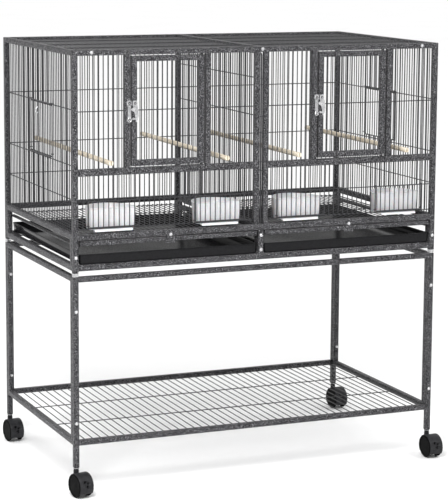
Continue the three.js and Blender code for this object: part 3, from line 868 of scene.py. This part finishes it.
def make_nest_door(name):
    """A flap that slides on the side panel's uprights, with a plated finger hook."""
    node = f"nest_door_{name}"
    side = SIDES[name]
    (x0, x1), (y0, y1), (z0, z1) = ranges(node)
    x, y = (x0 + x1) / 2, (y0 + y1) / 2
    turn = Matrix.Translation((x, y, z0)) @ Matrix.Rotation(math.pi / 2, 4, "Z")
    flap = placed(flap_wires(y1 - y0, z1 - z0, NEST["wires"]), turn)
    for end in (y0 + WIRE, y1 - WIRE):
        upright = SIDE_PITCH * round(end / SIDE_PITCH)
        for z in (z0 + 8, z1):
            loop_round(flap, side * X_WIRE, upright, z, (side, 0))
    wired(f"{node}_wires", flap, node, node)
    hook = Shape()
    bend = arc((NEST_HOOK["stand_off"], z1 - NEST_HOOK["drop"]), NEST_HOOK["bend"], -90, 90, 12)
    path = [(x + side * u, y + NEST_HOOK["across"], v) for u, v in bend]
    hook.wire(*path, radius=NEST_HOOK["radius"], sides=12, blunt=True)
    plated(f"{node}_hook", hook, node)


# ---------- trays, grates, cups and perches ----------


def tray_shell(node):
    """A pressed tray: draft on its walls, round corners and a rolled rim."""
    (x0, x1), (y0, y1), (low, high) = ranges(node)
    middle = Vector(((x0 + x1) / 2, (y0 + y1) / 2, 0))
    profile = (
        (5.5, low), (3.2, low + 0.5), (2.2, low + 2.2), (1.3, high - 3.2), (0.5, high - 2.6),
        (0, high - 1.8), (0.1, high - 0.7), (0.9, high), (2.4, high), (3.2, high - 0.8), (3.5, high - 2.6),
        (4.6, low + 3.6), (5.6, low + 2.2), (7.6, low + 1.7),
    )
    shape = Shape()
    rings = []
    for inset, z in profile:
        outline = rounded(x1 - x0 - 2 * inset, y1 - y0 - 2 * inset, max(9 - inset, 2), 5)
        rings.append([middle + Vector((u, v, z)) for u, v in outline])
    shape.skin(rings)
    return shape


def grate_wires(node):
    (x0, x1), (y0, y1), (z0, z1) = ranges(node)
    z = (z0 + z1) / 2 + 1
    shape = Shape()
    for number in range(GRATE_COUNT + 2):
        x = x0 + BORDER + (x1 - x0 - 2 * BORDER) * number / (GRATE_COUNT + 1)
        radius = WIRE if 0 < number <= GRATE_COUNT else BORDER
        shape.wire((x, y0 + TUBE - BITE, z), (x, y1 - 1, z), radius=radius)
    for y in (*TOP_CROSS_WIRES, y1 - BORDER):
        shape.wire((x0 + BORDER, y, z - CROSSING), (x1 - BORDER, y, z - CROSSING), radius=WIRE, blunt=True)
    return shape


def grate_front(node):
    x, (y0, _), z = ranges(node)
    shape = Shape()
    shape.bar(x, (y0, y0 + TUBE), z, end=0.6)
    return shape


STOP_THICK = 1.5


def grate_stop(node):
    x, _, z = ranges(node)
    outline = [(-13, 0), (13, 0), (13, 5.5), *arc((0, 19), 8, 10, 170, 8), (-13, 5.5)]
    shape = Shape()
    front_plate(shape, shifted(outline, sum(x) / 2, z[0]), FACE, FACE - STOP_THICK, 0.35)
    return shape


def d_outline(half, depth, shift):
    """A D: flat towards the front, round towards the back, with eased front corners."""
    points = []
    first, last, steps = 8, 172, 18
    for step in range(steps + 1):
        angle = math.radians(first + (last - first) * step / steps)
        bulge = abs(math.sin(angle)) ** 0.9
        points.append((half * math.cos(angle), shift + depth * bulge))
    ease = half * 0.075
    corner = ((half - ease, shift), (half - ease * 0.25, shift + ease * 0.8))
    return [*points, *[(-x, y) for x, y in corner], *corner]


def cup_shell(node):
    """A seed cup with draft, a rolled rim, and a lip that reaches out under the wires."""
    (x0, x1), (_, y1), (_, high) = ranges(node)
    low = CUP["low"]
    half = (x1 - x0) / 2
    middle = (x0 + x1) / 2
    front = -Y_WIRE + CUP["front"]
    depth = y1 - front
    profile = (
        (8, low), (5.4, low + 0.6), (4.2, low + 2.6), (1.6, high - 2.8), (0.5, high - 2.4),
        (0, high - 1.5), (0.3, high - 0.4), (1.2, high), (2.4, high - 0.3), (3.2, high - 1.4),
        (5.8, low + 4.4), (7.6, low + 2.4), (10, low + 1.9),
    )
    shape = Shape()
    rings = []
    for inset, z in profile:
        outline = d_outline(half - inset, depth - 2 * inset, inset)
        rings.append([(middle + u, front + v, z) for u, v in outline])
    shape.skin(rings)
    lip = shifted(rounded(CUP_LIP["width"], CUP_LIP["thick"], 2.2, 4), middle, CUP_LIP["middle"])
    front_plate(shape, lip, CUP_LIP["front"], front + 4, 0.5)
    return shape


def dowel(node):
    """A wooden perch with a slot in each end for the cross wire it sits on."""
    (x0, x1), (y0, y1), (z0, z1) = ranges(node)
    x, z = (x0 + x1) / 2, (z0 + z1) / 2
    radius = (z1 - z0) / 2
    depth = PERCH_SLOT["depth"]
    shape = Shape()
    shape.wire((x, y0 + depth, z), (x, y1 - depth, z), radius=radius, sides=40)
    start = math.degrees(math.asin(PERCH_SLOT["half"] / radius))
    cheek = arc((0, 0), radius, -90 + start, 90 - start, 14)
    for s in (-1, 1):
        for tip, root in ((y0, y0 + depth), (y1, y1 - depth)):
            step = 0.8 if root > tip else -0.8
            rings = []
            for y, size in ((tip, 0.88), (tip + step, 1), (root, 1)):
                rings.append([(x + s * u * size, y, z + v * size) for u, v in cheek])
            shape.skin(rings)
    return shape


def make_loose_pieces():
    for name in SIDES:
        tray, grate = f"tray_{name}", f"grate_{name}"
        make(f"{tray}_shell", tray_shell(tray), TRAY_BLACK, tray, "tray_black", tray)
        wired(f"{grate}_wires", grate_wires(grate), grate, grate)
        painted(f"{grate}_front_bar", grate_front(grate), grate, grate)
        painted(f"{grate}_stop", grate_stop(f"grate_tab_{name}"), grate, f"grate_tab_{name}")
        for place in ("inner", "outer"):
            cup, perch = f"cup_{name}_{place}", f"perch_{name}_{place}"
            make(f"{cup}_shell", cup_shell(cup), CUP_WHITE, CAGE, "cup_white", cup)
            make(f"{perch}_dowel", dowel(perch), WOOD, CAGE, "perch_wood", perch)


# ---------- stand ----------


def stand_side(side):
    shape = Shape()
    x = (side * X_IN, side * X_OUT)
    shape.bar(x, Y_RAIL, STAND_RAIL)
    shape.bar(x, Y_RAIL, SHELF_RAIL)
    for end in ENDS.values():
        shape.bar(x, (end * Y_IN, end * (Y_IN - TUBE)), (SHELF_RAIL[1] - CORNER, STAND_RAIL[0] + CORNER))
    return shape


def shelf_tubes():
    shape = Shape()
    for end in ENDS.values():
        y = (end * Y_OUT, end * Y_IN)
        shape.bar(X_RAIL, y, SHELF_RAIL)
    return shape


def shelf_wires():
    shape = Shape()
    z = SHELF_RAIL[0] + TUBE / 2 + 1
    edge = X_IN - BORDER
    count = 2 * int((edge - WIRE) / SHELF_PITCH) + 1
    for number in range(count):
        x = SHELF_PITCH * (number - (count - 1) / 2)
        shape.wire((x, -Y_WIRE, z), (x, Y_WIRE, z))
    for side in SIDES.values():
        shape.wire((side * edge, -Y_WIRE, z), (side * edge, Y_WIRE, z), radius=BORDER)
    for y in SHELF_CROSS_WIRES:
        shape.wire((-edge, y, z - CROSSING), (edge, y, z - CROSSING))
    return shape


def spacer_blocks(node):
    """Two thin plated blocks, one on the other."""
    x, y, (low, high) = ranges(node)
    middle = (low + high) / 2
    outline = rounded(x[1] - x[0], y[1] - y[0], 2.2)
    centre = sum(x) / 2, sum(y) / 2
    shape = Shape()
    for z in ((low, middle - 0.2), (middle + 0.2, high)):
        shape.plate(outline, z, lambda u, v, w: (centre[0] + u, centre[1] + v, w), 0.7)
    return shape


def make_stand():
    for end_name, end in ENDS.items():
        rail = Shape()
        rail.bar(X_RAIL, (end * Y_OUT, end * Y_IN), STAND_RAIL)
        painted(f"stand_rail_{end_name}_tube", rail, CAGE, f"stand_rail_{end_name}")
        for side_name, side in SIDES.items():
            node, spacer = f"leg_{end_name}_{side_name}", f"spacer_{end_name}_{side_name}"
            leg = Shape()
            leg.bar((side * X_IN, side * X_OUT), (end * Y_OUT, end * Y_IN), LEG, end=1.2)
            painted(f"{node}_tube", leg, CAGE, node)
            plated(f"{spacer}_blocks", spacer_blocks(spacer), CAGE, spacer)
    for name, side in SIDES.items():
        painted(f"side_frame_{name}_tubes", stand_side(side), CAGE, f"side_frame_{name}")
    painted("shelf_tubes", shelf_tubes(), CAGE, "shelf")
    # The shelf's wires use the darker copy of the wire paint, painted shade under the cage.
    wired("shelf_wires", shelf_wires(), CAGE, "shelf", finish=SHADED_SHELF_WIRES)


# ---------- casters ----------

# Turned shapes, as (radius, distance). The first three are measured along the axle from the middle.
WHEEL_PROFILE = (
    (0.4, 13.6), (26.0, 13.6), (27.1, 14.0), (27.5, 14.8), (27.5, 16.3), (27.0, 16.8), (25.4, 16.9),
    (25.2, 18.3), (24.7, 19.0), (23.9, 19.0), (23.3, 18.3), (22.6, 17.7), (18.0, 17.8), (9.0, 18.2),
    (0.4, 18.4),
)
HOOD_PROFILE = (
    (0.4, -18.3), (27.2, -18.3), (28.6, -17.9), (29.4, -17.0), (29.7, -15.6), (29.7, 15.6), (29.4, 17.0),
    (28.6, 17.9), (27.2, 18.3), (0.4, 18.3),
)
POCKET_PROFILE = ((28.3, 13.0), (28.3, 22.0))
NECK_PROFILE = ((6.5, -16), (6.5, 3.6), (5.6, 4.2), (5.6, 6.0), (6.5, 6.6), (6.5, 7.4), (0.4, 7.5))
RING_PROFILE = ((6.4, 0), (7.0, 0.4), (7.0, 1.3), (6.4, 1.7), (0.4, 1.75))
# The web from the neck to the hood, as (backwards, up) from the axle, and half its width.
WEB = ((10, -12), (26, -12), (28.4, -6), (28.4, 16), (24, 22), (8, 22))
WEB_HALF = 6.4
# Holes in the hood's front, as (across, up, radius), and their ends in front of the axle.
LOBES = ((-4.0, 12.5, 3.6), (3.4, 9.5, 3.2), (1.2, 3.0, 3.0), (2.0, -1.4, 2.2))
LOBE_START, LOBE_END = 32, 12
# From the axle: back to the stem, up to the hood's top, down to its foot, and the axle's own size.
TRAIL = 22
HOOD_TOP = 29.7
HOOD_FOOT = -15.5
AXLE = {"radius": 2.8, "reach": 14}


def caster_axes(place):
    """The wheel centre, and the directions of the axle and of the stem seen from the wheel."""
    joint = next(j for j in frame["joints"] if j["name"] == f"caster_{place}_roll")
    centre = Vector([1000 * v for v in joint["pos_m"]]) - Vector((0, CENTRE_Y, 0))
    axle = Vector(joint["axis"]).normalized()
    return centre, axle, Vector((-axle.y, axle.x, 0))


def caster_hood(place):
    """The hood as a whole drum, before its pockets are cut."""
    centre, axle, _ = caster_axes(place)
    shape = Shape()
    shape.turn(HOOD_PROFILE, centre, axle, 72)
    return shape


def caster_point(place):
    """A function from (backwards, up, along the axle) to a point."""
    centre, axle, back = caster_axes(place)
    return lambda u, v, w: centre + back * u + Vector((0, 0, v)) + axle * w


def caster_neck(place):
    """The stem housing, with a web that joins it to the hood's back."""
    at = caster_point(place)
    shape = Shape()
    shape.turn(NECK_PROFILE, at(TRAIL, HOOD_TOP - 2, 0), (0, 0, 1), 32)
    shape.plate(WEB, (-WEB_HALF, WEB_HALF), at, 1.6)
    return shape


def pocket_cutter(place):
    """A pocket for each disc, and four lobes in a Y on the hood's front."""
    centre, axle, back = caster_axes(place)
    cutter = Shape()
    for s in (-1, 1):
        cutter.turn(POCKET_PROFILE, centre, axle * s, 72)
    for across, up, radius in LOBES:
        start = centre + axle * across + Vector((0, 0, up)) - back * LOBE_START
        cutter.turn(((radius, 0), (radius, LOBE_START - LOBE_END)), start, back, 14)
    return cutter


def floor_cutter(place):
    """A box of everything below the hood's foot."""
    at = caster_point(place)
    corners = ((-40, -30), (40, -30), (40, 30), (-40, 30))
    cutter = Shape()
    cutter.skin([[at(u, v, w) for u, w in corners] for v in (-40, HOOD_FOOT)])
    return cutter


def cut(piece, cutter):
    """Cuts a cutter's shape out of a piece, whose mesh is replaced by the result."""
    tool = make("cutter", cutter, PAINT, CAGE, "frame_paint")
    modifier = piece.modifiers.new("cut", "BOOLEAN")
    modifier.object = tool
    modifier.operation = "DIFFERENCE"
    modifier.solver = "EXACT"
    modifier.use_self = True
    bpy.context.view_layer.update()
    shown = piece.evaluated_get(bpy.context.evaluated_depsgraph_get())
    mesh = bpy.data.meshes.new_from_object(shown)
    piece.modifiers.clear()
    piece.data = mesh
    bpy.data.objects.remove(tool)


def caster_wheels(place):
    centre, axle, _ = caster_axes(place)
    shape = Shape()
    for s in (-1, 1):
        shape.turn(WHEEL_PROFILE, centre, axle * s, 72)
    reach = axle * AXLE["reach"]
    shape.wire(centre - reach, centre + reach, radius=AXLE["radius"], sides=16)
    return shape


def stem_ring(place):
    """The bright washer under the leg."""
    stem = caster_point(place)(TRAIL, 0, 0)
    shape = Shape()
    shape.turn(RING_PROFILE, (stem.x, stem.y, LEG[0] - 1.9), (0, 0, 1), 28)
    return shape


def make_casters():
    for end_name in ENDS:
        for side_name in SIDES:
            place = f"{end_name}_{side_name}"
            body, wheels = f"caster_{place}", f"caster_wheels_{place}"
            node = f"caster_hood_{place}"
            hood = make(f"{node}_shell", caster_hood(place), HOOD_NYLON, body, "caster_black", node)
            cut(hood, pocket_cutter(place))
            cut(hood, floor_cutter(place))
            neck = caster_neck(place)
            make(f"caster_neck_{place}", neck, HOOD_NYLON, body, "caster_black", node)
            make(f"{wheels}_discs", caster_wheels(place), WHEEL_NYLON, wheels, "caster_black", wheels)
            plated(f"stem_ring_{place}", stem_ring(place), body)


# ---------- fasteners ----------

SCREW = (
    (4.1, 0), (4.1, 0.6), (3.5, 0.8), (3.4, 1.5), (2.8, 2.3), (1.8, 2.7), (1.3, 2.7), (1.1, 2.0), (0.3, 1.9),
)
NUT = ((3.6, 0), (3.9, 0.4), (3.9, 2.3), (3.5, 2.8), (1.9, 2.8), (1.9, 4.2), (1.4, 4.6), (0.3, 4.7))
LEG_SCREWS_Z = (172, 438)
POST_SCREW_Z = 565
TOP_SCREWS_X = (-429, 0, 429)
TOP_SCREWS_Z = TOP - 6
MIDDLE_SCREWS_Z = (557, 592)
STOP_SCREW_Z = 608


def make_fasteners():
    stand = Shape()
    cage = Shape()
    for end in ENDS.values():
        outwards = (0, end, 0)
        for side in SIDES.values():
            x = side * X_WIRE
            for z in LEG_SCREWS_Z:
                stand.turn(SCREW, (x, end * Y_OUT, z), outwards, 24)
                stand.turn(NUT, (x, end * (Y_IN - TUBE), z), (0, -end, 0), 6)
            cage.turn(SCREW, (x, end * Y_OUT, POST_SCREW_Z), outwards, 24)
        for x in TOP_SCREWS_X:
            cage.turn(SCREW, (x, end * Y_OUT, TOP_SCREWS_Z), outwards, 24)
        for z in MIDDLE_SCREWS_Z:
            cage.turn(SCREW, (0, end * Y_OUT, z), outwards, 24)
    for name in SIDES:
        x = sum(pair(f"grate_tab_{name}", 0)) / 2
        stop = Shape()
        stop.turn(SCREW, (x, FACE - STOP_THICK, STOP_SCREW_Z), FORWARD, 24)
        plated(f"grate_stop_screw_{name}", stop, f"grate_{name}")
    plated("stand_screws", stand, CAGE)
    plated("cage_screws", cage, CAGE)


# ---------- studio ----------


def make_floor():
    """A wide disc, half a millimetre under the casters."""
    mesh = bpy.data.meshes.new("floor")
    work = bmesh.new()
    bmesh.ops.create_circle(work, cap_ends=True, segments=96, radius=40)
    work.to_mesh(mesh)
    work.free()
    floor = bpy.data.objects.new("floor", mesh)
    floor.location.z = -0.0005
    mesh.materials.append(floor_paint())
    show(floor)


def make_world():
    """White from above, and greyer towards the horizon, which the camera doesn't see."""
    world = bpy.data.worlds.new("studio")
    world.use_nodes = True
    tree = world.node_tree
    sky = tree.nodes["Background"]
    sky.inputs["Color"].default_value = (1, 1, 1, 1)
    place = tree.nodes.new("ShaderNodeTexCoord")
    split = tree.nodes.new("ShaderNodeSeparateXYZ")
    height = tree.nodes.new("ShaderNodeMapRange")
    for name, value in {"From Min": 0, "From Max": 0.7, "To Min": 0.3, "To Max": 1.22}.items():
        height.inputs[name].default_value = value
    tree.links.new(place.outputs["Generated"], split.inputs["Vector"])
    tree.links.new(split.outputs["Z"], height.inputs["Value"])
    tree.links.new(height.outputs["Result"], sky.inputs["Strength"])
    bpy.context.scene.world = world
    bpy.context.scene.view_settings.view_transform = "Standard"


def make_light(name, place, aim, size, power):
    data = bpy.data.lights.new(name, "AREA")
    data.shape = "DISK"
    data.size = size
    data.energy = power
    light = bpy.data.objects.new(name, data)
    light.location = place
    light.rotation_mode = "QUATERNION"
    light.rotation_quaternion = (Vector(aim) - Vector(place)).to_track_quat("-Z", "Y")
    show(light)


def make_camera():
    """A long lens from the front left, a little above the cage's top."""
    place = Vector((-1.865, -4.399, 1.327))
    yaw, pitch, roll = math.radians(22.896), math.radians(-8.148), math.radians(0.328)
    data = bpy.data.cameras.new("camera")
    data.sensor_width = 36
    data.lens = 137.8
    data.shift_x, data.shift_y = 0.014, -0.1
    forward = Vector((math.sin(yaw) * math.cos(pitch), math.cos(yaw) * math.cos(pitch), math.sin(pitch)))
    right = Vector((math.cos(yaw), -math.sin(yaw), 0))
    up = right.cross(forward)
    across = right * math.cos(roll) + up * math.sin(roll)
    upright = up * math.cos(roll) - right * math.sin(roll)
    camera = bpy.data.objects.new("camera", data)
    axes = Matrix((across, upright, -forward)).transposed()
    camera.matrix_world = Matrix.Translation(place) @ axes.to_4x4()
    show(camera)
    bpy.context.scene.camera = camera


make_camera()
make_world()
make_floor()
make_light("key", place=(-1.3, -1.9, 2.1), aim=(0, 0, 0.85), size=1.0, power=70)
make_light("fill", place=(2.2, -2.4, 2.0), aim=(0, 0, 0.7), size=1.6, power=22)

make_front_and_back()
make_sides_and_top()
make_doors()
make_loose_pieces()
make_stand()
make_casters()
make_fasteners()
